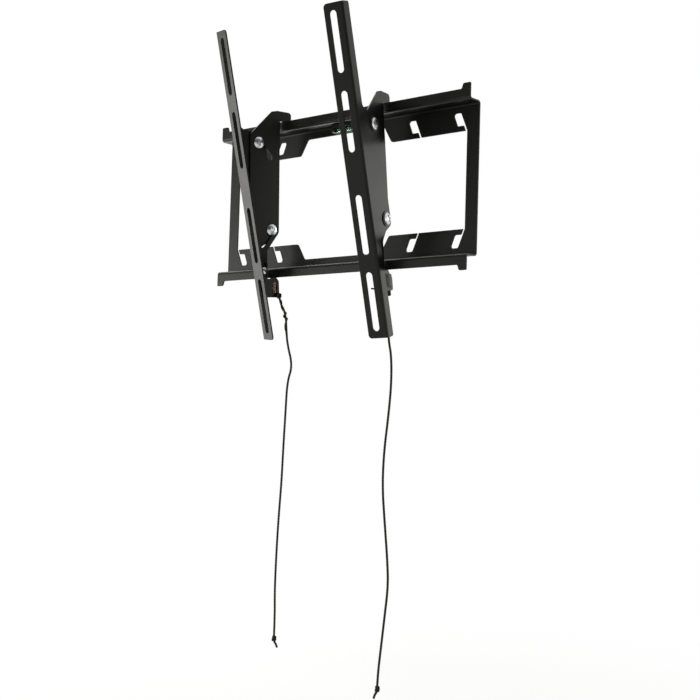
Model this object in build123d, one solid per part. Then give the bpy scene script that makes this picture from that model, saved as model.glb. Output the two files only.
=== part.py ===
from build123d import *
import math
import os

# Tilting wall bracket for a flat television: a pressed wall plate with two
# lipped rails, and two hangers that hook over the top lip. Each hanger
# carries a slotted arm that tilts on two bolts in curved slots, and a sprung
# latch that catches the bottom lip until its cord is pulled.
# Frame: X to the right along the wall, Y into the wall, Z up. The wall is the
# plane Y = 0, and the origin is the middle of the wall plate's back face.

# Wall plate
plate_width = 449.0
plate_sheet = 2.0
rail_depth = 22.4
lip_edge = 110.2
lip_height = 14.2
bend_inside = 2.5
strip_edge = 84.5
tab_edge = 62.3
post_width = 18.2
tab_end_top = 69.5
tab_end_foot = 83.0
tab_corner = 5.0
ear_rise = 6.9
ear_top = 11.0
ear_foot = 13.5
ear_fillet = 2.0

# Slots in the wall plate's tabs, each open to the tab's edge through a slit
slot_top = 86.0
slot_foot = 69.2
slot_top_width = 12.2
slot_foot_width = 12.6
slot_lean = 0.43
slot_pitch = 73.0
slit_width = 3.1
slot_corner = 3.0

# Spirit level under the top rail, a little to the right of the middle
level_x = 6.5
level_length = 40.0
level_height = 11.0
level_width = 13.0
neck_length = 32.0
neck_width = 6.0
neck_gap = 0.2
barb_height = 1.6
barb_reach = 1.5
vial_length = 34.0
vial_radius = 3.3
vial_wall = 0.7
vial_gap = 0.1
vial_drop = 7.0
cap_length = 1.5
window_length = 30.0

# Hook plate, measured from the top lip's front edge
hook_sheet = 2.0
hook_seat_gap = 0.3
throat_front = 3.7
throat_back = 3.2
beak_back = 14.0
beak_top = 14.0
beak_tip = 9.0
beak_front = 17.0
beak_crown = 0.8
front_margin = 13.0
chamfer_margin = 11.7
taper_margin = 12.3
taper_round = 20.0
shoulder_margin = 3.7
leg_slope = 1.4
leg_back = 22.0
leg_front = 33.0
knee_front = 40.0
knee_rise = 15.0
foot_back = 2.0
foot_shoulder = 6.5
foot_slope = 5.5
foot_gap = 4.1
foot_height = 21.5
lip_gap = 0.3

# How each hanger hangs in the photograph: place along the lip, swing about
# the vertical, and sideways lean of its foot away from the middle
left_place = -101.2
right_place = 84.3
left_swing = -16.4
right_swing = 9.9
left_lean = 4.73
right_lean = -2.16

# Arm
arm_length = 427.5
arm_sheet = 2.0
arm_bend = 1.0
flange_width = 28.5
flange_corner = 5.0
web_depth = 15.0
web_wide = 49.0
web_wide_half = 69.0
web_slope = 13.0
web_wide_low = 72.0
web_low_slope = 14.0
screen_slot_width = 10.0
screen_slot_centre = 15.9
inner_slot_start = 27.2
inner_slot_end = 104.6
outer_slot_start = 127.0
outer_slot_margin = 9.25
arm_ahead = 63.6
arm_drop = 96.9

# Tilt: bolts in curved slots about an axis in front of the arm. The left arm
# rests at its forward limit, and the right arm a little short of it.
forward_tilt = 10.5
left_tilt_back = 0.0
right_tilt_back = 0.6
tilt_travel = 15.0
upper_tilt_depth = 38.0
lower_tilt_depth = 37.3
upper_tilt_point = 59.5
lower_tilt_point = -63.2
pivot_ahead = 41.0
pivot_below = 5.0

# Fasteners at each tilt point
head_radius = 7.7
head_rim = 0.9
head_height = 3.0
cross_length = 9.0
cross_width = 2.4
cross_depth = 1.5
bolt_radius = 2.5
bolt_gap = 0.1
sleeve_radius = 3.5
sleeve_gap = 0.3
slide_gap = 0.1
disc_radius = 9.0
disc_thick = 0.8
disc_gap = 0.05
washer_radius = 10.0
washer_thick = 1.2
thread_end = 1.0

# Latch plate, its screw, spring and cord
latch_sheet = 2.0
latch_gap = 0.2
latch_stroke = 9.0
latch_front = 34.5
latch_foot_front = 27.5
latch_clear = 0.6
nose_front = 17.0
nose_top_width = 3.5
nose_catch = 7.4
nose_clear = 0.8
latch_back = 3.0
latch_tail = 1.5
latch_rise = 24.4
latch_screw_y = -27.5
latch_screw_rise = 10.4
latch_screw_radius = 2.5
latch_screw_gap = 0.1
latch_head_radius = 4.5
latch_head_height = 2.4
window_front = 14.5
window_width = 7.0
window_margin = 5.3
window_height = 14.0
spring_radius = 3.2
spring_wire = 0.8
spring_turns = 4
spring_gap = 0.1
cord_radius = 1.6
cord_hole_radius = 1.8
cord_hole_back = 6.2
cord_hole_drop = 23.5
top_knot_radius = 4.1
top_knot_height = 8.5
top_knot_drop = 1.2
end_knot_radius = 3.1
end_knot_height = 7.0
knot_gap = 0.2
tail_length = 13.0

# Cord routes below the top knots, hanging close in front of the wall
cord_plane = -8.5
left_route = [
    (-105.8, -147.0),
    (-100.0, -154.0),
    (-95.0, -166.0),
    (-93.5, -184.0),
    (-90.5, -204.0),
    (-79.5, -233.5),
    (-88.5, -256.0),
    (-90.0, -297.0),
    (-92.0, -345.0),
    (-93.5, -397.0),
    (-97.0, -447.0),
    (-99.0, -497.0),
    (-99.8, -547.0),
    (-98.0, -580.0),
    (-98.3, -609.0),
]
right_route = [
    (89.2, -151.0),
    (90.6, -171.0),
    (93.2, -201.5),
    (98.6, -222.0),
    (99.8, -258.0),
    (96.5, -298.0),
    (90.5, -347.0),
    (89.6, -392.0),
    (95.0, -436.0),
    (101.5, -486.0),
    (103.8, -518.0),
    (99.5, -556.0),
    (94.0, -604.0),
    (91.0, -630.0),
    (90.4, -647.0),
]
left_tail = (6.8, 0.0, -11.5)
right_tail = (-5.4, 0.0, -12.9)

# Levels and layers worked out from the sizes above
half_width = plate_width / 2
bend_outside = bend_inside + plate_sheet
step_low = lip_edge - lip_height
step_top = step_low + plate_sheet
rail_span = 2 * lip_edge
post_inner = half_width - post_width
disc_inner = hook_sheet + disc_gap
web_inner = hook_sheet + disc_thick
web_outer = web_inner + arm_sheet
head_seat = web_outer + washer_thick
foot_top = -(rail_span + foot_gap)
foot_bottom = foot_top - foot_height
latch_screw_z = -(rail_span - latch_screw_rise)
window_top = -(rail_span + nose_clear + window_margin)
window_bottom = window_top - window_height
latch_outer = -latch_gap
latch_inner = -latch_gap - latch_sheet


def outline(points, radii):
    """A closed face through the points, each corner rounded by its radius."""
    return make_face(FilletPolyline(*points, radius=radii, close=True))


def turned(y, z, degrees):
    """A point of the YZ plane turned about X."""
    angle = math.radians(degrees)
    return (
        y * math.cos(angle) - z * math.sin(angle),
        y * math.sin(angle) + z * math.cos(angle),
    )


def on_arm(depth, along):
    """The hook plate's Y and Z of a point on the arm at its forward limit."""
    y, z = turned(depth, along, forward_tilt)
    return (y - arm_ahead, z - arm_drop)


pivot = on_arm(-pivot_ahead, -pivot_below)
upper_point = on_arm(upper_tilt_depth, upper_tilt_point)
lower_point = on_arm(lower_tilt_depth, lower_tilt_point)


# Wall plate: one folded sheet with a frame, tabs, slots, rails and ears
def rail_section():
    """The Z fold of the top rail: wall flange, step and upright lip."""
    back_of_lip = -rail_depth + plate_sheet
    points = [
        (0, strip_edge + plate_sheet),
        (0, step_top),
        (back_of_lip, step_top),
        (back_of_lip, lip_edge),
        (-rail_depth, lip_edge),
        (-rail_depth, step_low),
        (-plate_sheet, step_low),
        (-plate_sheet, strip_edge + plate_sheet),
    ]
    radii = [0, bend_outside, bend_inside, 0, 0, bend_outside, bend_inside, 0]
    return outline(points, radii)


def tab_slot(outer_foot):
    """One leaning wall slot of the upper right tab, with its slit."""
    lean_top = outer_foot - slot_lean * (slot_top - tab_edge)
    lean_foot = outer_foot - slot_lean * (slot_foot - tab_edge)
    points = [
        (lean_top - slot_top_width, slot_top),
        (lean_top, slot_top),
        (outer_foot, tab_edge),
        (outer_foot, tab_edge - 1),
        (outer_foot - slit_width, tab_edge - 1),
        (outer_foot - slit_width, tab_edge),
        (lean_foot - slit_width, slot_foot),
        (lean_foot - slot_foot_width, slot_foot),
    ]
    radii = [slot_corner, slot_corner, 0, 0, 0, 0, 0, slot_corner]
    return outline(points, radii)


def frame_window():
    """The open middle of the plate, between posts, tabs and strips."""
    quarter = [
        (tab_end_top, strip_edge),
        (tab_end_foot, tab_edge),
        (post_inner, tab_edge),
    ]
    points = list(quarter)
    points += [(x, -z) for x, z in reversed(quarter)]
    points += [(-x, -z) for x, z in quarter]
    points += [(-x, z) for x, z in reversed(quarter)]
    radii = [tab_corner, tab_corner, 0, 0, tab_corner, tab_corner] * 2
    return outline(points, radii)


def ear():
    """The stop that stands up from the right end of the top lip."""
    top = lip_edge + ear_rise
    points = [
        (half_width, lip_edge - plate_sheet),
        (half_width, top),
        (half_width - ear_top, top),
        (half_width - ear_foot, lip_edge),
        (half_width - ear_foot - ear_fillet, lip_edge),
        (half_width - ear_foot - ear_fillet, lip_edge - plate_sheet),
    ]
    return outline(points, [0, 1.5, 2.0, ear_fillet, 0, 0])


def wall_plate():
    sheet = Rectangle(plate_width, 2 * (step_top - bend_outside))
    sheet -= frame_window()
    for outer_foot in (post_inner, post_inner - slot_pitch):
        slot = tab_slot(outer_foot)
        for flip in (slot, mirror(slot, about=Plane.XZ)):
            sheet -= flip
            sheet -= mirror(flip, about=Plane.YZ)
    plate = extrude(Plane.XZ * sheet, amount=plate_sheet)
    rail = extrude(Plane.YZ * rail_section(), amount=half_width, both=True)
    lip_back = Plane.XZ.offset(rail_depth - plate_sheet)
    stop = extrude(lip_back * ear(), amount=plate_sheet)
    rail += stop
    rail += mirror(stop, about=Plane.YZ)
    plate += rail
    plate += mirror(rail, about=Plane.XY)
    neck_cut = Box(neck_length + 2 * neck_gap, neck_width + 2 * neck_gap, 4 * plate_sheet)
    return plate - Pos(level_x, level_y(), step_low) * neck_cut


# Spirit level: a moulded holder that snaps into the step, and a sealed vial
def level_y():
    """The level's middle, with its holder's back against the wall flange."""
    return -plate_sheet - level_width / 2


def vial_axis_z():
    return step_low - vial_drop


def level_holder():
    back = -plate_sheet
    front = back - level_width
    low = step_low - level_height
    clear = bend_inside + 0.5
    section = [
        (back, low),
        (back, step_low - clear),
        (back - clear, step_low),
        (front, step_low),
        (front, low),
    ]
    body = outline(section, [1.0, 0, 0, 1.0, 2.5])
    holder = extrude(Plane.YZ * body, amount=level_length / 2, both=True)
    neck = Box(neck_length, neck_width, plate_sheet)
    holder += Pos(0, level_y(), step_low + plate_sheet / 2) * neck
    barb = Box(neck_length + 2 * barb_reach, neck_width, barb_height)
    holder += Pos(0, level_y(), step_top + barb_height / 2) * barb
    bore = Cylinder(vial_radius + vial_gap, level_length, rotation=(0, 90, 0))
    bore_shift = level_length / 2 - vial_length / 2
    holder -= Pos(bore_shift, level_y(), vial_axis_z()) * bore
    view = Box(window_length, level_width, level_height)
    view_y = level_y() - level_width / 2 + vial_radius / 2
    view_z = vial_axis_z() - level_height / 2 + vial_radius / 2
    holder -= Pos(0, view_y, view_z) * view
    return Pos(level_x, 0, 0) * holder


def level_vial():
    inside = vial_radius - vial_wall
    tube = Cylinder(vial_radius, vial_length, rotation=(0, 90, 0))
    hollow = Cylinder(inside, vial_length, rotation=(0, 90, 0))
    tube -= Pos(vial_wall, 0, 0) * hollow
    return Pos(level_x, level_y(), vial_axis_z()) * tube


def level_cap():
    plug = Cylinder(vial_radius - vial_wall, cap_length, rotation=(0, 90, 0))
    plug_x = level_x + (vial_length - cap_length) / 2
    return Pos(plug_x, level_y(), vial_axis_z()) * plug


def level_fluid():
    length = vial_length - vial_wall - cap_length
    inside = vial_radius - vial_wall
    middle = (vial_wall - cap_length) / 2
    fluid = Cylinder(inside, length, rotation=(0, 90, 0))
    bubble_radius = 0.6 * inside
    bubble = Cylinder(bubble_radius, 2 * inside, rotation=(0, 90, 0))
    bubble += Pos(inside, 0, 0) * Sphere(bubble_radius)
    bubble += Pos(-inside, 0, 0) * Sphere(bubble_radius)
    fluid -= Pos(0, 0, inside - bubble_radius / 2) * bubble
    return Pos(level_x + middle, level_y(), vial_axis_z()) * fluid


# Hook plate of the right-hand hanger, with X outward from its inner face
def tilt_slot(point):
    """The curved slot that one tilt bolt's sleeve runs in."""
    y = point[0] - pivot[0]
    z = point[1] - pivot[1]
    radius = math.hypot(y, z)
    extra = math.degrees(sleeve_gap / radius)
    start = math.degrees(math.atan2(z, y)) - tilt_travel - extra
    arc = CenterArc(pivot, radius, start, tilt_travel + 2 * extra)
    return SlotArc(arc, 2 * (sleeve_radius + sleeve_gap))


def spring_window():
    middle_y = -window_front + window_width / 2
    middle_z = window_bottom + window_height / 2
    return Pos(middle_y, middle_z) * RectangleRounded(window_width, window_height, 0.8)


def hook_plate():
    front = upper_point[0] - front_margin
    chamfer_low = upper_point[1] + chamfer_margin
    taper = lower_point[1] + taper_margin
    shoulder = lower_point[1] - shoulder_margin
    leg_top = shoulder - leg_slope * (leg_back - throat_front)
    knee = -(rail_span - knee_rise)
    points = [
        (front, chamfer_low),
        (-beak_front, beak_top - beak_crown),
        (-beak_front / 2, beak_top + beak_crown),
        (beak_back, beak_top - beak_crown),
        (beak_back, -beak_tip),
        (throat_back, -beak_tip),
        (throat_back, hook_seat_gap),
        (-throat_front, hook_seat_gap),
        (-throat_front, shoulder),
        (-leg_back, leg_top),
        (-leg_back, foot_top),
        (-foot_shoulder, foot_top),
        (-foot_back - 0.8, foot_top - foot_slope),
        (-foot_back, foot_bottom),
        (-leg_front, foot_bottom),
        (-knee_front, knee),
        (front, taper),
    ]
    beak_radii = [4.0, 4.0, 6.0, 5.0, 4.0, 2.0, 0.8, 0.8]
    leg_radii = [8.0, 8.0, 1.5, 2.0, 2.0, 3.0, 3.0, taper_round, taper_round]
    sheet = outline(points, beak_radii + leg_radii)
    sheet -= tilt_slot(upper_point)
    sheet -= tilt_slot(lower_point)
    sheet -= Pos(latch_screw_y, latch_screw_z) * Circle(latch_screw_radius)
    sheet -= spring_window()
    return extrude(Plane.YZ * sheet, amount=hook_sheet)


# Arm of the right-hand hanger: depth runs to the wall from the flange's face
def arm():
    half = arm_length / 2
    flange_inner = web_outer - flange_width
    flange = outline(
        [(web_outer, -half), (web_outer, half), (flange_inner, half), (flange_inner, -half)],
        [0, 0, flange_corner, flange_corner],
    )
    slot_x = web_outer - screen_slot_centre
    outer_slot_end = half - outer_slot_margin
    for start, end in ((inner_slot_start, inner_slot_end), (outer_slot_start, outer_slot_end)):
        slot = SlotOverall(end - start, screen_slot_width, rotation=90)
        flange -= Pos(slot_x, (start + end) / 2) * slot
        flange -= Pos(slot_x, -(start + end) / 2) * slot
    body = extrude(Plane.XZ * flange, amount=-arm_sheet)
    top = web_wide_half + web_slope
    foot = web_wide_low + web_low_slope
    points = [
        (0, -half),
        (web_depth, -half),
        (web_depth, -foot),
        (web_wide, -web_wide_low),
        (web_wide, web_wide_half),
        (web_depth, top),
        (web_depth, half),
        (0, half),
    ]
    web = outline(points, [0, 3.0, 8.0, 8.0, 8.0, 8.0, 3.0, 0])
    for deep, along in ((upper_tilt_depth, upper_tilt_point), (lower_tilt_depth, lower_tilt_point)):
        web -= Pos(deep, along) * Circle(bolt_radius + bolt_gap)
    body += extrude(Plane.YZ.offset(web_inner) * web, amount=arm_sheet)
    inner_edge = body.edges().filter_by(Axis.Z).sort_by_distance((web_inner, arm_sheet, 0))[0]
    body = fillet(inner_edge, arm_bend)
    outer_edge = body.edges().filter_by(Axis.Z).sort_by_distance((web_outer, 0, 0))[0]
    return fillet(outer_edge, arm_bend + arm_sheet)


# Fasteners, turned about X with their seats at X = 0
def cross_recess(height, length, width, depth):
    slot = Box(depth + 1, length, width) + Box(depth + 1, width, length)
    return Pos(height + (1 - depth) / 2, 0, 0) * slot


def domed_head(radius, rim, height):
    profile = make_face(
        Polyline((height, 0), (0, 0), (0, radius), (rim, radius))
        + ThreePointArc((rim, radius), (height - 0.28 * (height - rim), 0.55 * radius), (height, 0))
    )
    return revolve(profile, axis=Axis.X)


def tilt_screw():
    """A bolt whose head bears on the outer washer and whose shank points in."""
    head = domed_head(head_radius, head_rim, head_height)
    head -= cross_recess(head_height, cross_length, cross_width, cross_depth)
    shank_length = head_seat + slide_gap + thread_end
    shank = Cylinder(bolt_radius, shank_length, rotation=(0, 90, 0))
    head += Pos(-shank_length / 2, 0, 0) * shank
    return Pos(head_seat, 0, 0) * head


def sleeve_nut():
    """The nut on the inner side, with a sleeve that shoulders on the web."""
    head = domed_head(head_radius, head_rim, head_height)
    head -= cross_recess(head_height, cross_length, cross_width, cross_depth)
    nut = Pos(-slide_gap, 0, 0) * Rot(0, 0, 180) * head
    sleeve_length = web_inner + slide_gap
    sleeve = Cylinder(sleeve_radius, sleeve_length, rotation=(0, 90, 0))
    nut += Pos(web_inner - sleeve_length / 2, 0, 0) * sleeve
    bore_length = sleeve_length + thread_end
    bore = Cylinder(bolt_radius, bore_length, rotation=(0, 90, 0))
    return nut - Pos(web_inner - bore_length / 2, 0, 0) * bore


def outer_washer():
    ring = Cylinder(washer_radius, washer_thick, rotation=(0, 90, 0))
    ring = chamfer(ring.edges().sort_by(Axis.X)[-1], 0.4)
    ring -= Cylinder(bolt_radius + bolt_gap, 2 * washer_thick, rotation=(0, 90, 0))
    return Pos(web_outer + washer_thick / 2, 0, 0) * ring


def friction_disc():
    thick = web_inner - disc_inner
    ring = Cylinder(disc_radius, thick, rotation=(0, 90, 0))
    ring -= Cylinder(sleeve_radius + bolt_gap, 2 * thick, rotation=(0, 90, 0))
    return Pos(web_inner - thick / 2, 0, 0) * ring


# Latch of the right-hand hanger
def latch():
    front_part_back = -leg_back - latch_clear
    throat = -(rail_span + nose_clear)
    nose_top = -(rail_span - nose_catch)
    top = -(rail_span - latch_rise)
    bottom = foot_bottom - latch_tail
    points = [
        (-latch_front, top),
        (front_part_back, top),
        (front_part_back, throat),
        (-nose_front, throat),
        (-nose_front, nose_top),
        (-nose_front + nose_top_width, nose_top),
        (-latch_back - 1.2, foot_top),
        (-latch_back, bottom),
        (-latch_foot_front, bottom),
        (-latch_front, foot_top),
    ]
    radii = [4.0, 4.0, 1.0, 1.0, 1.0, 1.5, 4.0, 3.0, 4.0, 6.0]
    sheet = outline(points, radii)
    guide = SlotCenterToCenter(latch_stroke, 2 * (latch_screw_radius + latch_screw_gap), rotation=90)
    sheet -= Pos(latch_screw_y, latch_screw_z + latch_stroke / 2) * guide
    sheet -= spring_window()
    sheet -= Pos(-cord_hole_back, -(rail_span + cord_hole_drop)) * Circle(cord_hole_radius)
    return extrude(Plane.YZ.offset(latch_inner) * sheet, amount=latch_sheet)


def latch_screw():
    """A shoulder screw that holds the latch plate to the hook plate."""
    head = domed_head(latch_head_radius, 0.8, latch_head_height)
    head -= cross_recess(latch_head_height, 4.4, 1.0, 1.2)
    seat = latch_inner - slide_gap
    screw = Pos(seat, 0, 0) * Rot(0, 0, 180) * head
    length = hook_sheet - seat
    shank = Cylinder(latch_screw_radius, length, rotation=(0, 90, 0))
    screw += Pos(seat + length / 2, 0, 0) * shank
    return Pos(0, latch_screw_y, latch_screw_z) * screw


def latch_spring():
    """A coil from the hook window's lower edge to the latch window's top."""
    coil_radius = spring_radius - spring_wire / 2
    height = window_height - spring_wire - 2 * spring_gap
    path = Helix(height / spring_turns, height, coil_radius)
    section = Plane(origin=path @ 0, z_dir=path % 0) * Circle(spring_wire / 2)
    coil = sweep(section, path=path, is_frenet=True)
    low = window_bottom + spring_gap + spring_wire / 2
    middle_x = latch_outer / 2
    return Pos(middle_x, -window_front + window_width / 2, low) * coil


# Cord and knots
def knot(centre, direction, radius, height):
    """A round knot, with the cord's flat ends a little proud of it."""
    ball = Sphere(radius) + Cylinder(cord_radius, height)
    return Plane(origin=centre, z_dir=direction).location * ball


def top_knot(centre, direction, beside_hole, in_hole):
    """The knot below the latch's hole, with the cord's stub in the hole."""
    way = in_hole - beside_hole
    stub_plane = Plane(origin=beside_hole, z_dir=way)
    stub = extrude(stub_plane * Circle(cord_radius), amount=way.length)
    return knot(centre, direction, top_knot_radius, top_knot_height) + stub


def end_knot(top, direction, tail):
    """The knot at the cord's lower end, with the cord's short free tail."""
    centre = top + direction * (end_knot_height / 2)
    tail_plane = Plane(origin=centre, z_dir=Vector(*tail))
    stub = extrude(tail_plane * Circle(cord_radius), amount=tail_length)
    return knot(centre, direction, end_knot_radius, end_knot_height) + stub


def cord_tube(points, name):
    """A limp cord: straight runs joined by the largest arcs they allow."""
    radii = []
    for before, here, after in zip(points, points[1:], points[2:]):
        run_in = here - before
        run_out = after - here
        turn = math.radians(run_in.get_angle(run_out))
        shorter = min(run_in.length, run_out.length)
        radii.append(0.45 * shorter / math.tan(turn / 2))
    path = FilletPolyline(*points, radius=radii)
    section = Plane(origin=path @ 0, z_dir=path % 0) * Circle(cord_radius)
    tube = sweep(section, path=path)
    print(name, "radii", [round(r, 1) for r in radii])
    print(name, "length", round(path.length, 1))
    print(name, "volume ratio", tube.volume / (math.pi * cord_radius**2 * path.length))
    return tube


# A hanger leans back until its leg rests on the bottom lip
def hanger_pitch(swing, lean, outer_x):
    swing = math.radians(swing)
    lean = math.radians(lean)
    twist = math.sin(swing) * math.sin(lean)
    cosine = -math.cos(swing) * leg_back - twist * rail_span
    sine = math.cos(swing) * rail_span - twist * leg_back
    reach = -lip_gap - math.sin(swing) * math.cos(lean) * outer_x
    size = math.hypot(cosine, sine)
    return math.degrees(math.atan2(sine, cosine) - math.acos(reach / size))


def hanger_place(place, swing, lean, outer_x):
    pitch = hanger_pitch(swing, lean, outer_x)
    print("hanger pitch", round(pitch, 3))
    hung = Pos(place, -rail_depth, lip_edge)
    return hung * Rot(0, 0, swing) * Rot(0, lean, 0) * Rot(pitch, 0, 0)


def hanger_nodes(tilt_back):
    """Every rigid piece of a right-hand hanger, its arm tilted back a little."""
    tilted = Pos(0, *pivot) * Rot(-tilt_back, 0, 0) * Pos(0, -pivot[0], -pivot[1])
    arm_place = tilted * Pos(0, -arm_ahead, -arm_drop) * Rot(forward_tilt, 0, 0)
    nodes = {
        "hook_plate": hook_plate(),
        "arm": arm_place * arm(),
        "latch": latch(),
        "latch_screw": latch_screw(),
        "latch_spring": latch_spring(),
    }
    levels = (
        ("upper", upper_tilt_depth, upper_tilt_point),
        ("lower", lower_tilt_depth, lower_tilt_point),
    )
    for level, deep, along in levels:
        point = arm_place * Pos(0, deep, along)
        nodes[level + "_tilt_screw"] = point * tilt_screw()
        nodes[level + "_sleeve_nut"] = point * sleeve_nut()
        nodes[level + "_outer_washer"] = point * outer_washer()
        nodes[level + "_friction_disc"] = point * friction_disc()
    return nodes


def cord_nodes(hung, outward, route, tail, side):
    """The pull cord and its two knots, in the wall plate's frame."""
    hole_z = -(rail_span + cord_hole_drop)
    knot_x = outward * (latch_inner - knot_gap - top_knot_radius)
    centre = (hung * Pos(knot_x, -cord_hole_back, hole_z - top_knot_drop)).position
    beside_hole = (hung * Pos(knot_x, -cord_hole_back, hole_z)).position
    in_hole = (hung * Pos(outward * latch_outer, -cord_hole_back, hole_z)).position
    below = [Vector(x, cord_plane, z) for x, z in route]
    leaving = (below[0] - centre).normalized()
    hanging = (below[-1] - below[-2]).normalized()
    points = [centre + leaving * (top_knot_height / 2)] + below
    print(side, "cord starts at", tuple(round(v, 2) for v in points[0]))
    print(side, "runs", [round((b - a).length, 1) for a, b in zip(points, points[1:])])
    return {
        "cord_top_knot": top_knot(centre, leaving, beside_hole, in_hole),
        "pull_cord": cord_tube(points, side + "_pull_cord"),
        "cord_end_knot": end_knot(points[-1], hanging, tail),
    }


def bracket():
    nodes = {
        "wall_plate": wall_plate(),
        "level_holder": level_holder(),
        "level_vial": level_vial(),
        "level_cap": level_cap(),
        "level_fluid": level_fluid(),
    }
    left = hanger_place(left_place, left_swing, left_lean, -hook_sheet)
    right = hanger_place(right_place, right_swing, right_lean, hook_sheet)
    for name, piece in hanger_nodes(right_tilt_back).items():
        nodes["right_" + name] = right * piece
    for name, piece in hanger_nodes(left_tilt_back).items():
        nodes["left_" + name] = left * mirror(piece, about=Plane.YZ)
    for name, piece in cord_nodes(left, -1, left_route, left_tail, "left").items():
        nodes["left_" + name] = piece
    for name, piece in cord_nodes(right, 1, right_route, right_tail, "right").items():
        nodes["right_" + name] = piece
    return nodes


os.makedirs("parts", exist_ok=True)
for name, piece in bracket().items():
    export_step(piece, "parts/" + name + ".step")
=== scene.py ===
import bpy
import math
import numpy as np
from mathutils import Matrix, Vector


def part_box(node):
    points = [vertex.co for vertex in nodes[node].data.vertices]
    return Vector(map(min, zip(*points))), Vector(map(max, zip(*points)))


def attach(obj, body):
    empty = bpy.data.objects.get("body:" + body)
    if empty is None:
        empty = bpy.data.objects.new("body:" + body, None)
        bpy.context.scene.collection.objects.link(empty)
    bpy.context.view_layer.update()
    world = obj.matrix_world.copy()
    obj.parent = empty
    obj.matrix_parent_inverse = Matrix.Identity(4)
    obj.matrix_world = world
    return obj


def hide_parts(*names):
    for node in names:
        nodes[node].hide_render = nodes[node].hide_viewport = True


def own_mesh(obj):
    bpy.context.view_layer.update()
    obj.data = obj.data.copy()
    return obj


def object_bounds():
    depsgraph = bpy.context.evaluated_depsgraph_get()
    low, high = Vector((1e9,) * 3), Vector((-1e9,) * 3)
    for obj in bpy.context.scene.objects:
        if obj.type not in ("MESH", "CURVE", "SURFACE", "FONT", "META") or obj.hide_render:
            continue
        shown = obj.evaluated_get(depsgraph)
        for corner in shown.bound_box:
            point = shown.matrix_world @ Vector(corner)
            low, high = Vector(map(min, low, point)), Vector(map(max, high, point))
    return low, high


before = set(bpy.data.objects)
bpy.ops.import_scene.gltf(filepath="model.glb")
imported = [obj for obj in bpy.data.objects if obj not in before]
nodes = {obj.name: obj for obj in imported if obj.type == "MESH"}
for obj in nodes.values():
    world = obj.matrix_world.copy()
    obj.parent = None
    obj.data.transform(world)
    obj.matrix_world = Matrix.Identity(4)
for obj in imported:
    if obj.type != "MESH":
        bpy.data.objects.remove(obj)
cad_low, cad_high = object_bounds()
scene = bpy.context.scene
scene.view_settings.view_transform = "Standard"


# Camera
# The photograph looks up a little at the bracket from its right-hand side,
# with a long lens and a slight roll.
camera_turn = math.radians(41.41)
camera_rise = math.radians(2.92)
camera_roll = math.radians(1.71)
camera_place = Vector((1.1258, -1.2549, -0.2976))
forward = Vector((
    -math.sin(camera_turn) * math.cos(camera_rise),
    math.cos(camera_turn) * math.cos(camera_rise),
    math.sin(camera_rise),
))
level_right = Vector((math.cos(camera_turn), math.sin(camera_turn), 0.0))
level_up = level_right.cross(forward)
right = math.cos(camera_roll) * level_right + math.sin(camera_roll) * level_up
up = math.cos(camera_roll) * level_up - math.sin(camera_roll) * level_right
lens = bpy.data.cameras.new("photo_camera")
lens.lens = 63.95
lens.sensor_width = 36.0
camera = bpy.data.objects.new("photo_camera", lens)
camera.matrix_world = Matrix((
    (right.x, up.x, -forward.x, camera_place.x),
    (right.y, up.y, -forward.y, camera_place.y),
    (right.z, up.z, -forward.z, camera_place.z),
    (0.0, 0.0, 0.0, 1.0),
))
scene.collection.objects.link(camera)
scene.camera = camera


# Studio
# A pale floor under the hanging cords runs out into a white surround. The
# floor close below the bracket is plain paint and takes its shadow. In what is
# mirrored the surround is dimmer in front, and dark on the unlit side.
def shader_graph(material):
    """An empty node tree, with short calls to add and join its nodes."""
    material.use_nodes = True
    tree = material.node_tree
    tree.nodes.clear()

    def add(kind, **settings):
        node = tree.nodes.new(kind)
        for key, value in settings.items():
            if key in node.inputs:
                node.inputs[key].default_value = value
            else:
                setattr(node, key, value)
        return node

    def join(source, output, target, socket):
        tree.links.new(source.outputs[output], target.inputs[socket])

    return add, join


def mesh_object(name, places, faces, material):
    """A mesh object at the origin, from an array of places and lists of corners."""
    mesh = bpy.data.meshes.new(name)
    mesh.from_pydata(places.tolist(), [], faces)
    mesh.materials.append(material)
    mesh.update()
    made = bpy.data.objects.new(name, mesh)
    scene.collection.objects.link(made)
    return made


floor_level = float(cad_low.z) - 0.02
floor_half = 6.0
paint_reach, white_reach, near_white = 0.55, 1.1, 0.62
floor_paint = bpy.data.materials.new("studio_floor")
add, join = shader_graph(floor_paint)
place = add("ShaderNodeTexCoord")
spread = add("ShaderNodeVectorMath", operation="LENGTH")
fade = add("ShaderNodeMapRange", interpolation_type="SMOOTHSTEP")
fade.inputs["From Min"].default_value = paint_reach
fade.inputs["From Max"].default_value = white_reach
fade.inputs["To Min"].default_value = near_white
paths = add("ShaderNodeLightPath")
seen = add("ShaderNodeMath", operation="MAXIMUM")
seen_far = add("ShaderNodeMath", operation="MULTIPLY")
paint = add("ShaderNodeBsdfDiffuse", Color=(0.9, 0.9, 0.9, 1.0))
white = add("ShaderNodeEmission", Color=(1.0, 1.0, 1.0, 1.0), Strength=1.0)
mixed = add("ShaderNodeMixShader")
output = add("ShaderNodeOutputMaterial")
join(place, "Object", spread, 0)
join(spread, "Value", fade, "Value")
join(paths, "Is Camera Ray", seen, 0)
join(paths, "Is Glossy Ray", seen, 1)
join(seen, "Value", seen_far, 0)
join(fade, "Result", seen_far, 1)
join(seen_far, "Value", mixed, "Fac")
join(paint, "BSDF", mixed, 1)
join(white, "Emission", mixed, 2)
join(mixed, "Shader", output, "Surface")
corners = np.array([[-1, -1], [1, -1], [1, 1], [-1, 1]]) * floor_half
floor_places = np.column_stack([corners, np.full(4, floor_level)])
floor = mesh_object("studio_floor", floor_places, [[0, 1, 2, 3]], floor_paint)

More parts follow.
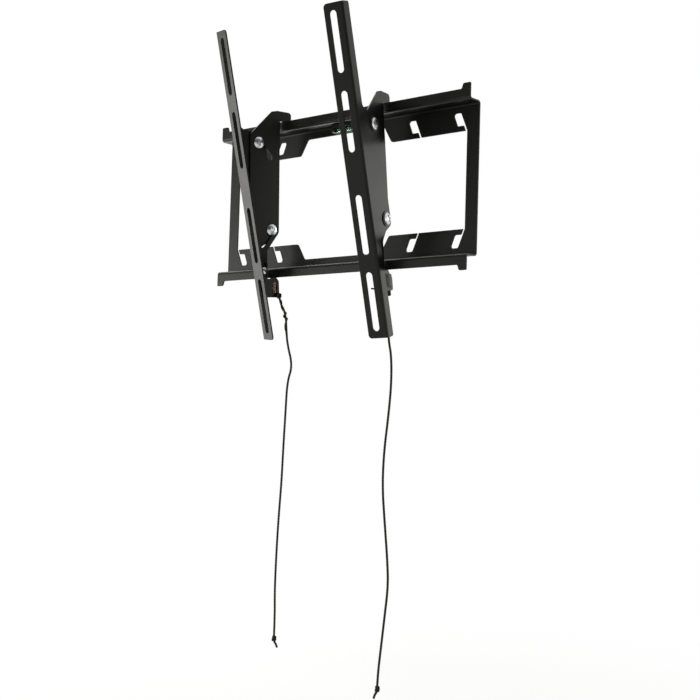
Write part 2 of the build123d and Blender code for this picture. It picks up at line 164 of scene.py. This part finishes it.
front_glow, unlit_glow = 0.3, 0.05
unlit_way = (0.75, -0.66, 0.0)
surround = bpy.data.worlds.new("white_surround")
scene.world = surround
add, join = shader_graph(surround)
paths = add("ShaderNodeLightPath")
way = add("ShaderNodeTexCoord")
parts = add("ShaderNodeSeparateXYZ")
behind = add("ShaderNodeMapRange", interpolation_type="SMOOTHSTEP")
behind.inputs["From Min"].default_value = -0.25
behind.inputs["From Max"].default_value = 0.3
behind.inputs["To Min"].default_value = front_glow
facing = add("ShaderNodeVectorMath", operation="DOT_PRODUCT")
facing.inputs[1].default_value = unlit_way
dark_side = add("ShaderNodeMapRange", interpolation_type="SMOOTHSTEP")
dark_side.inputs["From Min"].default_value = 0.45
dark_side.inputs["From Max"].default_value = 0.9
dark_side.inputs["To Min"].default_value = 1.0
dark_side.inputs["To Max"].default_value = unlit_glow
glow = add("ShaderNodeMath", operation="MULTIPLY")
clear = add("ShaderNodeMath", operation="MAXIMUM")
fill = add("ShaderNodeBackground", Color=(1.0, 1.0, 1.0, 1.0), Strength=0.45)
mirrored = add("ShaderNodeBackground", Color=(1.0, 1.0, 1.0, 1.0))
white = add("ShaderNodeBackground", Color=(1.0, 1.0, 1.0, 1.0), Strength=1.0)
lit = add("ShaderNodeMixShader")
mixed = add("ShaderNodeMixShader")
output = add("ShaderNodeOutputWorld")
join(way, "Generated", parts, "Vector")
join(parts, "Y", behind, "Value")
join(way, "Generated", facing, 0)
join(facing, "Value", dark_side, "Value")
join(behind, "Result", glow, 0)
join(dark_side, "Result", glow, 1)
join(glow, "Value", mirrored, "Strength")
join(paths, "Is Camera Ray", clear, 0)
join(paths, "Is Transmission Ray", clear, 1)
join(paths, "Is Glossy Ray", lit, "Fac")
join(fill, "Background", lit, 1)
join(mirrored, "Background", lit, 2)
join(clear, "Value", mixed, "Fac")
join(lit, "Shader", mixed, 1)
join(white, "Background", mixed, 2)
join(mixed, "Shader", output, "Surface")


# Lamps
# A wide soft box stands to the left of the bracket and one hangs over it. The
# smaller ones behind, below and to the right light the faces turned that way.
lamp_tint = (1.0, 0.99, 0.94)


def soft_box(name, place, aim, width, height, watts):
    """A rectangular lamp at a place, pointed at another, with its size and strength."""
    data = bpy.data.lights.new(name, "AREA")
    data.shape = "RECTANGLE"
    data.size = width
    data.size_y = height
    data.energy = watts
    data.color = lamp_tint
    lamp = bpy.data.objects.new(name, data)
    lamp.location = place
    lamp.rotation_mode = "QUATERNION"
    lamp.rotation_quaternion = (Vector(aim) - Vector(place)).to_track_quat("-Z", "Y")
    scene.collection.objects.link(lamp)


soft_box("left_box", (-2.0, -0.93, -0.4), (-0.1, -0.05, 0.0), 1.7, 1.4, 46.0)
soft_box("high_left_box", (-1.55, 0.1, 1.8), (0.0, 0.0, 0.0), 1.5, 1.5, 28.0)
soft_box("low_left_box", (-0.75, 0.3, -0.6), (-0.03, 0.0, 0.1), 0.5, 0.5, 6.0)
soft_box("back_right_box", (0.88, 2.16, 0.27), (0.1, -0.05, 0.0), 0.9, 0.8, 8.0)
soft_box("top_box", (0.4, -1.0, 2.0), (0.0, 0.0, 0.0), 1.8, 0.8, 16.0)
soft_box("right_box", (2.0, 0.5, -0.3), (0.0, 0.0, 0.0), 1.0, 0.9, 4.0)


# Folded steel: wall plate, hook plates, arms and latches
# Cold rolled sheet, blanked, folded and sprayed with a semi-gloss black
# powder coat, which has a fine orange-peel texture and rounds the cut edges.
def powder_coat(name, colour, roughness, peel):
    """A coat of one colour. Coarse noise moves its gloss a little, fine noise its
    surface, and sharp edges are shaded as if rounded."""
    material = bpy.data.materials.new(name)
    add, join = shader_graph(material)
    place = add("ShaderNodeTexCoord")
    grain = add("ShaderNodeTexNoise", Scale=800.0, Detail=3.0, Roughness=0.6)
    cloud = add("ShaderNodeTexNoise", Scale=35.0, Detail=2.0)
    gloss = add("ShaderNodeMapRange")
    gloss.inputs["To Min"].default_value = roughness - 0.03
    gloss.inputs["To Max"].default_value = roughness + 0.04
    rounding = add("ShaderNodeBevel", samples=6, Radius=0.0005)
    bump = add("ShaderNodeBump", Strength=peel, Distance=0.0002)
    coat = add("ShaderNodeBsdfPrincipled")
    coat.inputs["Base Color"].default_value = colour
    coat.inputs["Specular IOR Level"].default_value = 0.2
    output = add("ShaderNodeOutputMaterial")
    join(place, "Object", grain, "Vector")
    join(place, "Object", cloud, "Vector")
    join(cloud, "Fac", gloss, "Value")
    join(gloss, "Result", coat, "Roughness")
    join(grain, "Fac", bump, "Height")
    join(rounding, "Normal", bump, "Normal")
    join(bump, "Normal", coat, "Normal")
    join(coat, "BSDF", output, "Surface")
    return material


def finish_node(name, material):
    """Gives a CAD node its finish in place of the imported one."""
    node = nodes[name]
    node.data.materials.clear()
    node.data.materials.append(material)


coat_black = (0.0048, 0.0047, 0.0043, 1.0)
plate_coat = powder_coat("black_powder_coat", coat_black, 0.4, 0.1)
finish_node("wall_plate", plate_coat)
for side in ("left", "right"):
    for sheet in ("_hook_plate", "_arm", "_latch"):
        finish_node(side + sheet, plate_coat)


# Spirit level
# A moulded black holder snapped into the top rail's step, with a clear
# acrylic vial of green spirit, closed by a cap and marked with two rings.
holder_plastic = powder_coat("black_moulding", (0.005, 0.005, 0.005, 1.0), 0.3, 0.1)
finish_node("level_holder", holder_plastic)
finish_node("level_cap", holder_plastic)

vial_acrylic = bpy.data.materials.new("clear_acrylic")
add, join = shader_graph(vial_acrylic)
acrylic = add("ShaderNodeBsdfPrincipled", Roughness=0.03, IOR=1.49)
acrylic.inputs["Base Color"].default_value = (0.93, 0.98, 0.9, 1.0)
acrylic.inputs["Transmission Weight"].default_value = 1.0
output = add("ShaderNodeOutputMaterial")
join(acrylic, "BSDF", output, "Surface")
finish_node("level_vial", vial_acrylic)

green_spirit = bpy.data.materials.new("green_spirit")
add, join = shader_graph(green_spirit)
spirit = add("ShaderNodeBsdfPrincipled", Roughness=0.05, IOR=1.36)
spirit.inputs["Base Color"].default_value = (0.03, 0.42, 0.16, 1.0)
spirit.inputs["Transmission Weight"].default_value = 0.6
output = add("ShaderNodeOutputMaterial")
join(spirit, "BSDF", output, "Surface")
finish_node("level_fluid", green_spirit)


ring_steps = 64
ring_apart = 0.009
ring_height = 0.00006
ring_half_width = 0.0003


def vial_ring(x, centre_y, centre_z, inner, outer, half_width):
    """A flat ring about the vial: a rectangle of two radii and two ends, carried
    round X."""
    angle = np.linspace(0.0, 2.0 * np.pi, ring_steps, endpoint=False)[:, None]
    radius = np.array([[inner, outer, outer, inner]])
    along = np.array([[-half_width, -half_width, half_width, half_width]])
    places = np.stack([
        x + along + 0.0 * angle,
        centre_y + radius * np.cos(angle),
        centre_z + radius * np.sin(angle),
    ], axis=-1)
    here = np.arange(ring_steps)[:, None] * 4
    after = (here + 4) % (4 * ring_steps)
    corner = np.arange(4)[None, :]
    beside = (corner + 1) % 4
    corners = [here + corner, here + beside, after + beside, after + corner]
    faces = np.stack(corners, axis=-1)
    return places.reshape(-1, 3), faces.reshape(-1, 4)


vial_low, vial_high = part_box("level_vial")
vial_middle = (Vector(vial_low) + Vector(vial_high)) / 2.0
vial_radius = (vial_high[2] - vial_low[2]) / 2.0
left_ring, ring_faces = vial_ring(
    vial_middle.x - ring_apart / 2.0, vial_middle.y, vial_middle.z,
    vial_radius, vial_radius + ring_height, ring_half_width)
right_ring = left_ring + np.array([ring_apart, 0.0, 0.0])
scribe_faces = np.concatenate([ring_faces, ring_faces + len(left_ring)])
scribe_rings = mesh_object(
    "vial_scribe_rings", np.concatenate([left_ring, right_ring]),
    scribe_faces.tolist(), holder_plastic)
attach(scribe_rings, "plate")


# Tilt bolts, sleeve nuts and latch screws
# Pressed steel with bright zinc plate, with shade painted into its colour down in
# the cross recess. Black nylon washers and friction discs sit under the tilt bolts.
zinc_plate = bpy.data.materials.new("bright_zinc")
add, join = shader_graph(zinc_plate)
place = add("ShaderNodeTexCoord")
mottle = add("ShaderNodeTexNoise", Scale=420.0, Detail=4.0)
tone = add("ShaderNodeValToRGB")
tone.color_ramp.elements[0].color = (0.48, 0.51, 0.52, 1.0)
tone.color_ramp.elements[1].color = (0.74, 0.77, 0.78, 1.0)
gloss = add("ShaderNodeMapRange")
gloss.inputs["To Min"].default_value = 0.22
gloss.inputs["To Max"].default_value = 0.4
# Painted shade: ambient occlusion darkens the zinc's colour in the cross recess and other
# hollows.
recess_occlusion = add("ShaderNodeAmbientOcclusion", samples=8, only_local=True, Distance=0.0025)
painted_recess_shade = add("ShaderNodeMapRange")
painted_recess_shade.inputs["From Min"].default_value = 0.45
painted_recess_shade.inputs["From Max"].default_value = 0.9
painted_recess_shade.inputs["To Min"].default_value = 0.12
shaded = add("ShaderNodeVectorMath", operation="MULTIPLY")
zinc = add("ShaderNodeBsdfPrincipled", Metallic=1.0)
output = add("ShaderNodeOutputMaterial")
join(place, "Object", mottle, "Vector")
join(mottle, "Fac", tone, "Fac")
join(mottle, "Fac", gloss, "Value")
join(recess_occlusion, "AO", painted_recess_shade, "Value")
join(tone, "Color", shaded, 0)
join(painted_recess_shade, "Result", shaded, 1)
join(shaded, "Vector", zinc, "Base Color")
join(gloss, "Result", zinc, "Roughness")
join(zinc, "BSDF", output, "Surface")
for side in ("left", "right"):
    for level in ("upper", "lower"):
        finish_node(side + "_" + level + "_tilt_screw", zinc_plate)
        finish_node(side + "_" + level + "_sleeve_nut", zinc_plate)
        finish_node(side + "_" + level + "_outer_washer", holder_plastic)
        finish_node(side + "_" + level + "_friction_disc", holder_plastic)
    finish_node(side + "_latch_screw", zinc_plate)


# Latch springs
# Wound spring wire with closed ends and a bronzed finish, set in the windows of
# the hook plate and the latch. It is built at one length and moves with the hanger;
# the real spring shortens when the latch is pulled down, this one does not.
bronzed_wire = bpy.data.materials.new("bronzed_wire")
add, join = shader_graph(bronzed_wire)
wire = add("ShaderNodeBsdfPrincipled", Metallic=1.0, Roughness=0.36)
wire.inputs["Base Color"].default_value = (0.52, 0.38, 0.31, 1.0)
output = add("ShaderNodeOutputMaterial")
join(wire, "BSDF", output, "Surface")


coil_turns = 7
coil_steps, coil_sides = 40, 10
coil_radius = 0.0028
coil_wire = 0.0004
coil_height = 0.0138
coil_closed = 0.75
coil_off, coil_y, coil_z = -0.0001, -0.011, -0.2404


def wire_coil(turns, radius, wire_radius, height):
    """A ring carried round a helix about Z. The helix rises evenly, apart from the
    first and last three quarters of a turn, which lie flat."""
    steps, sides = coil_steps * turns, coil_sides
    turned = np.linspace(0.0, float(turns), steps)
    angle = 2.0 * np.pi * turned
    climbed = np.clip((turned - coil_closed) / (turns - 2.0 * coil_closed), 0.0, 1.0)
    rise = wire_radius + (height - 2.0 * wire_radius) * climbed
    flat = np.zeros(steps)
    spoke = np.column_stack([np.cos(angle), np.sin(angle), flat])
    centre = radius * spoke + np.column_stack([flat, flat, rise])
    around = np.linspace(0.0, 2.0 * np.pi, sides, endpoint=False)
    rings = centre[:, None, :]
    rings = rings + wire_radius * np.cos(around)[None, :, None] * spoke[:, None, :]
    rings[:, :, 2] += wire_radius * np.sin(around)[None, :]
    row = np.arange(steps - 1)[:, None] * sides
    here = np.arange(sides)[None, :]
    after = (here + 1) % sides
    corners = [row + here, row + sides + here, row + sides + after, row + after]
    walls = np.stack(corners, axis=-1).reshape(-1, 4)
    first = list(range(sides))
    last = list(range(steps * sides - 1, (steps - 1) * sides - 1, -1))
    return rings.reshape(-1, 3), walls.tolist() + [first, last]


def hung_places(side, local):
    """Places in a hanger's own frame, turned and moved as that hanger hangs."""
    frame_there = hanger_frames[side]
    return local @ frame_there[:3, :3].T + frame_there[:3, 3]


# Each hanger: place along the lip in metres, then swing, lean and pitch in
# degrees, then the way its outer face looks along X.
hanger_turns = {
    "left": (-0.1012, -16.4, 4.73, 4.077, -1.0),
    "right": (0.0843, 9.9, -2.16, 5.154, 1.0),
}
lip_y, lip_z = -0.0224, 0.1102
hanger_frames = {}
for side in ("left", "right"):
    along_lip, swing, lean, pitch, outward = hanger_turns[side]
    hung = Matrix.Translation((along_lip, lip_y, lip_z))
    hung = hung @ Matrix.Rotation(math.radians(swing), 4, "Z")
    hung = hung @ Matrix.Rotation(math.radians(lean), 4, "Y")
    hung = hung @ Matrix.Rotation(math.radians(pitch), 4, "X")
    hanger_frames[side] = np.array(hung)
    coil_seat = (coil_off * outward, coil_y, coil_z)
    coil_places, coil_faces = wire_coil(coil_turns, coil_radius, coil_wire, coil_height)
    coil = mesh_object(
        side + "_wound_spring", hung_places(side, coil_places + np.array(coil_seat)),
        coil_faces, bronzed_wire)
    coil.data.shade_smooth()
    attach(coil, side + "_hanger")
    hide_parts(side + "_latch_spring")
    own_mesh(coil)


# Spring covers
# A shallow pressed cap on the outer face of each hook plate, spot welded round
# the spring's window and coated with the plate.
cover_front, cover_back = 0.011, 0.0046
cover_half_height = 0.0086
cover_rise, cover_sheet = 0.0015, 0.0003
cover_face, cover_y, cover_z = 0.00202, -0.011, -0.2335
cover_grid = 41


def cover_shell(front_reach, back_reach, half_height, rise, thick):
    """A closed thin cap over a rectangle. Its height falls to nothing at the back
    and at both ends as the eighth root of one less the eighth power, and to the
    front as a long ramp, one less the distance to the power 1.4. The inside is
    the same shape, smaller by the thickness."""
    spaced = np.sin(0.5 * np.pi * np.linspace(-1.0, 1.0, cover_grid))
    across_cap, along_cap = np.meshgrid(spaced, spaced, indexing="ij")
    steep_across = np.maximum(1.0 - across_cap ** 8, 0.0) ** 0.125
    steep_along = np.maximum(1.0 - along_cap ** 8, 0.0) ** 0.125
    ramp = 1.0 - np.abs(across_cap) ** 1.4
    height = np.where(across_cap < 0.0, ramp, steep_across) * steep_along
    reach = np.where(across_cap < 0.0, front_reach, back_reach)
    outside = np.stack([rise * height, reach * across_cap, half_height * along_cap], axis=-1)
    inside = np.stack([
        (rise - thick) * height,
        (reach - thick) * across_cap,
        (half_height - thick) * along_cap,
    ], axis=-1)
    number = np.arange(height.size).reshape(height.shape)
    corners = [number[:-1, :-1], number[1:, :-1], number[1:, 1:], number[:-1, 1:]]
    quads = np.stack(corners, axis=-1).reshape(-1, 4)
    edges = [number[:-1, 0], number[-1, :-1], number[:0:-1, -1], number[0, :0:-1]]
    rim = np.concatenate(edges)
    after = np.roll(rim, -1)
    count = number.size
    walls = np.stack([after, rim, rim + count, after + count], axis=-1)
    faces = np.concatenate([quads, quads[:, ::-1] + count, walls])
    return np.concatenate([outside.reshape(-1, 3), inside.reshape(-1, 3)]), faces


for side, outward in (("left", -1.0), ("right", 1.0)):
    cap_places, cap_faces = cover_shell(
        cover_front, cover_back, cover_half_height, cover_rise, cover_sheet)
    cap_seat = np.array([outward * cover_face, cover_y, cover_z])
    cap_places = hung_places(side, cap_places * np.array([outward, 1.0, 1.0]) + cap_seat)
    if outward < 0.0:
        cap_faces = cap_faces[:, ::-1]
    cover = mesh_object(
        side + "_spring_cover", cap_places, cap_faces.tolist(), plate_coat)
    cover.data.shade_smooth()
    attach(cover, side + "_hanger")


# Pull cords
# Limp braided polyester, knotted into the latch's hole and ended in a stopper
# knot, so that the catches can be let go from under the screen. The right one's
# knot has a short free end.
cord_radius = 0.0016
strands_each_way = 4
braid_pitch = 0.0036
braid_depth = 0.07
cord_step = 0.00045
cord_ring = 24
knot_steps, knot_open = 160, 0.12
cord_weave = bpy.data.materials.new("dark_braid")
add, join = shader_graph(cord_weave)
place = add("ShaderNodeTexCoord")
fibre = add("ShaderNodeTexNoise", Scale=2600.0, Detail=3.0)
tone = add("ShaderNodeValToRGB")
tone.color_ramp.elements[0].position = 0.3
tone.color_ramp.elements[0].color = (0.008, 0.0065, 0.0058, 1.0)
tone.color_ramp.elements[1].position = 0.72
tone.color_ramp.elements[1].color = (0.036, 0.029, 0.025, 1.0)
fuzz = add("ShaderNodeBump", Strength=0.25, Distance=0.0002)
braid = add("ShaderNodeBsdfPrincipled", Roughness=0.72)
braid.inputs["Specular IOR Level"].default_value = 0.12
braid.inputs["Sheen Weight"].default_value = 0.06
output = add("ShaderNodeOutputMaterial")
join(place, "Object", fibre, "Vector")
join(fibre, "Fac", tone, "Fac")
join(fibre, "Fac", fuzz, "Height")
join(tone, "Color", braid, "Base Color")
join(fuzz, "Normal", braid, "Normal")
join(braid, "BSDF", output, "Surface")


def smooth_line(name, route):
    """Places along one smooth curve that has the route's points as its controls."""
    curve = bpy.data.curves.new(name, "CURVE")
    curve.dimensions = "3D"
    curve.resolution_u = 24
    spline = curve.splines.new("NURBS")
    spline.points.add(len(route) - 1)
    controls = np.column_stack([route, np.ones(len(route))])
    spline.points.foreach_set("co", controls.ravel())
    spline.order_u = 3
    spline.use_endpoint_u = True
    carrier = bpy.data.objects.new(name, curve)
    mesh = bpy.data.meshes.new_from_object(carrier)
    places = np.empty(3 * len(mesh.vertices))
    mesh.vertices.foreach_get("co", places)
    bpy.data.objects.remove(carrier)
    bpy.data.curves.remove(curve)
    bpy.data.meshes.remove(mesh)
    return places.reshape(-1, 3)


def lengths_along(line):
    """The distance of each place of a line from its start."""
    steps = np.linalg.norm(np.diff(line, axis=0), axis=1)
    return np.concatenate([[0.0], np.cumsum(steps)])


def evenly(line, step):
    """The line's places at even distances, with their directions."""
    far = lengths_along(line)
    count = max(4, int(round(far[-1] / step)) + 1)
    even = np.linspace(0.0, far[-1], count)
    places = np.column_stack([np.interp(even, far, line[:, axis]) for axis in range(3)])
    ways = np.gradient(places, axis=0)
    ways /= np.linalg.norm(ways, axis=1, keepdims=True)
    return even, places, ways


def across(ways):
    """Two directions square to each way, and square to each other."""
    upright = np.where(np.abs(ways[:, 1:2]) < 0.9, [[0.0, 1.0, 0.0]], [[1.0, 0.0, 0.0]])
    level = np.cross(upright, ways)
    level /= np.linalg.norm(level, axis=1, keepdims=True)
    return level, np.cross(ways, level)


def braided_tube(line, radius):
    """A ring carried along a line. Two sets of strands wind about it in opposite
    ways, and its radius is largest where a strand of either set is uppermost."""
    even, places, ways = evenly(line, cord_step)
    level, square = across(ways)
    angle = np.linspace(0.0, 2.0 * np.pi, cord_ring, endpoint=False)
    wind = strands_each_way * angle[None, :]
    climb = 2.0 * np.pi * even[:, None] / braid_pitch
    weave = np.maximum(np.cos(wind + climb), np.cos(wind - climb))
    swell = radius * (1.0 - braid_depth + braid_depth * weave)
    rings = places[:, None, :]
    rings = rings + (swell * np.cos(angle))[:, :, None] * level[:, None, :]
    rings = rings + (swell * np.sin(angle))[:, :, None] * square[:, None, :]
    count = len(places)
    row = np.arange(count - 1)[:, None] * cord_ring
    here = np.arange(cord_ring)[None, :]
    after = (here + 1) % cord_ring
    corners = [row + here, row + after, row + cord_ring + after, row + cord_ring + here]
    walls = np.stack(corners, axis=-1).reshape(-1, 4)
    first_pole = np.full(cord_ring, count * cord_ring)
    start_fan = np.stack([after[0], here[0], first_pole], axis=-1)
    last = (count - 1) * cord_ring
    end_fan = np.stack([last + here[0], last + after[0], first_pole + 1], axis=-1)
    points = np.concatenate([rings.reshape(-1, 3), places[:1], places[-1:]])
    return points, walls, np.concatenate([start_fan, end_fan])


def knot_line(centre, way, reach, height):
    """An overhand knot: a trefoil whose plane is square to the cord, left open
    where it starts, with the reach of its lobes and its height set."""
    turn = np.linspace(knot_open, 2.0 * np.pi - knot_open, knot_steps)
    out_x = (np.sin(turn) + 2.0 * np.sin(2.0 * turn)) * reach / 3.0
    out_y = (np.cos(turn) - 2.0 * np.cos(2.0 * turn)) * reach / 3.0
    rise = -np.sin(3.0 * turn) * height / 2.0
    way = np.asarray(way, float)[None, :] / np.linalg.norm(way)
    level, square = across(way)
    places = np.asarray(centre) + out_x[:, None] * level + out_y[:, None] * square
    return places + rise[:, None] * way


def tied_piece(name, side, tubes):
    """One mesh of several tubes, moving with the latch of its side."""
    places, faces = [], []
    for tube_places, walls, fans in tubes:
        shift = sum(len(before) for before in places)
        places.append(tube_places)
        faces += (walls + shift).tolist() + (fans + shift).tolist()
    piece = mesh_object(name, np.concatenate(places), faces, cord_weave)
    piece.data.shade_smooth()
    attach(piece, side + "_catch")
    return piece


# The cords' courses, and the knots' places with the line of their stubs through
# the hole, are in millimetres in the part's frame.
cord_routes = {
    "left": np.array([
        (-109.52, -7.98, -138.32),
        (-105.8, -8.5, -147.0),
        (-100.0, -8.5, -154.0),
        (-95.0, -8.5, -166.0),
        (-93.5, -8.5, -184.0),
        (-90.5, -8.5, -204.0),
        (-79.5, -8.5, -233.5),
        (-88.5, -8.5, -256.0),
        (-90.0, -8.5, -297.0),
        (-92.0, -8.5, -345.0),
        (-93.5, -8.5, -397.0),
        (-97.0, -8.5, -447.0),
        (-99.0, -8.5, -497.0),
        (-99.8, -8.5, -547.0),
        (-98.0, -8.5, -580.0),
        (-98.3, -8.5, -609.0),
    ]) / 1000.0,
    "right": np.array([
        (85.47, -6.86, -138.58),
        (89.2, -8.5, -151.0),
        (90.6, -8.5, -171.0),
        (93.2, -8.5, -201.5),
        (98.6, -8.5, -222.0),
        (99.8, -8.5, -258.0),
        (96.5, -8.5, -298.0),
        (90.5, -8.5, -347.0),
        (89.6, -8.5, -392.0),
        (95.0, -8.5, -436.0),
        (101.5, -8.5, -486.0),
        (103.8, -8.5, -518.0),
        (99.5, -8.5, -556.0),
        (94.0, -8.5, -604.0),
        (91.0, -8.5, -630.0),
        (90.4, -8.5, -647.0),
    ]) / 1000.0,
}
knot_places = {
    "left": np.array([
        (-111.19, -7.74, -134.42),
        (-111.12, -7.85, -133.23),
        (-117.14, -6.08, -132.71),
    ]) / 1000.0,
    "right": np.array([
        (88.0, -6.5, -139.0),
        (84.24, -6.44, -133.34),
        (90.44, -5.36, -133.11),
    ]) / 1000.0,
}
free_ends = {
    "right": np.array([(76.0, -8.4, -133.2), (64.0, -12.3, -132.3)]) / 1000.0,
}
free_end_radius = 0.0011
hole_knot_reach, hole_knot_height = 0.0025, 0.0052
end_knot_reach, end_knot_height = 0.0021, 0.005
end_knot_below = 0.0035
tails = {
    "left": np.array([(0.5, 0.0, -4.0), (5.2, -0.6, -7.4), (6.6, 0.0, -11.6)]) / 1000.0,
    "right": np.array([(-0.5, 0.0, -4.0), (-3.6, -0.6, -8.0), (-5.2, 0.0, -12.6)]) / 1000.0,
}
cord_lines = {}
end_pieces = {}
for side in ("left", "right"):
    line = smooth_line(side + "_cord_line", cord_routes[side])
    cord_lines[side] = line
    tied_piece(
        side + "_braided_cord", side, [braided_tube(line, cord_radius)])
    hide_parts(side + "_pull_cord")

    centre, beside_hole, in_hole = knot_places[side]
    start = line[0]
    knot = knot_line(centre, start - centre, hole_knot_reach, hole_knot_height)
    stub = smooth_line(side + "_stub", np.array([centre, beside_hole, in_hole]))
    core = np.array([centre, start])
    tubes = [braided_tube(part, cord_radius) for part in (knot, stub, core)]
    if side in free_ends:
        free_line = smooth_line(
            side + "_free_end", np.concatenate([[centre], free_ends[side]]))
        tubes.append(braided_tube(free_line, free_end_radius))
    top_knot = tied_piece(side + "_hole_knot", side, tubes)
    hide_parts(side + "_cord_top_knot")

    way = line[-1] - line[-3]
    way /= np.linalg.norm(way)
    centre = line[-1] + way * end_knot_below
    knot = knot_line(centre, way, end_knot_reach, end_knot_height)
    tail = smooth_line(side + "_tail", np.concatenate([
        [centre - way * end_knot_below, centre], centre + tails[side]]))
    tubes = [braided_tube(part, cord_radius) for part in (knot, tail)]
    stopper = tied_piece(side + "_stopper_knot", side, tubes)
    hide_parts(side + "_cord_end_knot")
    end_pieces[side] = [top_knot, stopper]


# Tied end of the left cord
# The left cord is doubled back from the latch's hole, twisted with itself and
# drawn tight at two places, and its short end lies along the cord below.
def wound_line(line, along, turns, apart):
    """A line wound about another: the turns and the distance apart are given at
    some lengths along it and change evenly between them."""
    even, places, ways = evenly(line, cord_step)
    inside = even <= along[-1]
    even, places, ways = even[inside], places[inside], ways[inside]
    level, square = across(ways)
    angle = 2.0 * np.pi * np.interp(even, along, turns)[:, None]
    distance = np.interp(even, along, apart)[:, None]
    return places + distance * (np.cos(angle) * level + np.sin(angle) * square)


doubled_along = [0.0, 0.024, 0.029, 0.034, 0.044, 0.05, 0.054]
doubled_turns = [0.1, 1.3, 1.9, 2.5, 2.9, 3.1, 3.1]
doubled_apart = [0.0012, 0.0015, 0.0024, 0.0016, 0.0014, 0.0026, 0.0034]
doubled_radius = 0.00135
doubled = wound_line(cord_lines["left"], doubled_along, doubled_turns, doubled_apart)
tied_end = tied_piece(
    "left_cord_tied_end", "left", [braided_tube(doubled, doubled_radius)])
end_pieces["left"].append(tied_end)
for side in ("left", "right"):
    line = cord_lines[side]
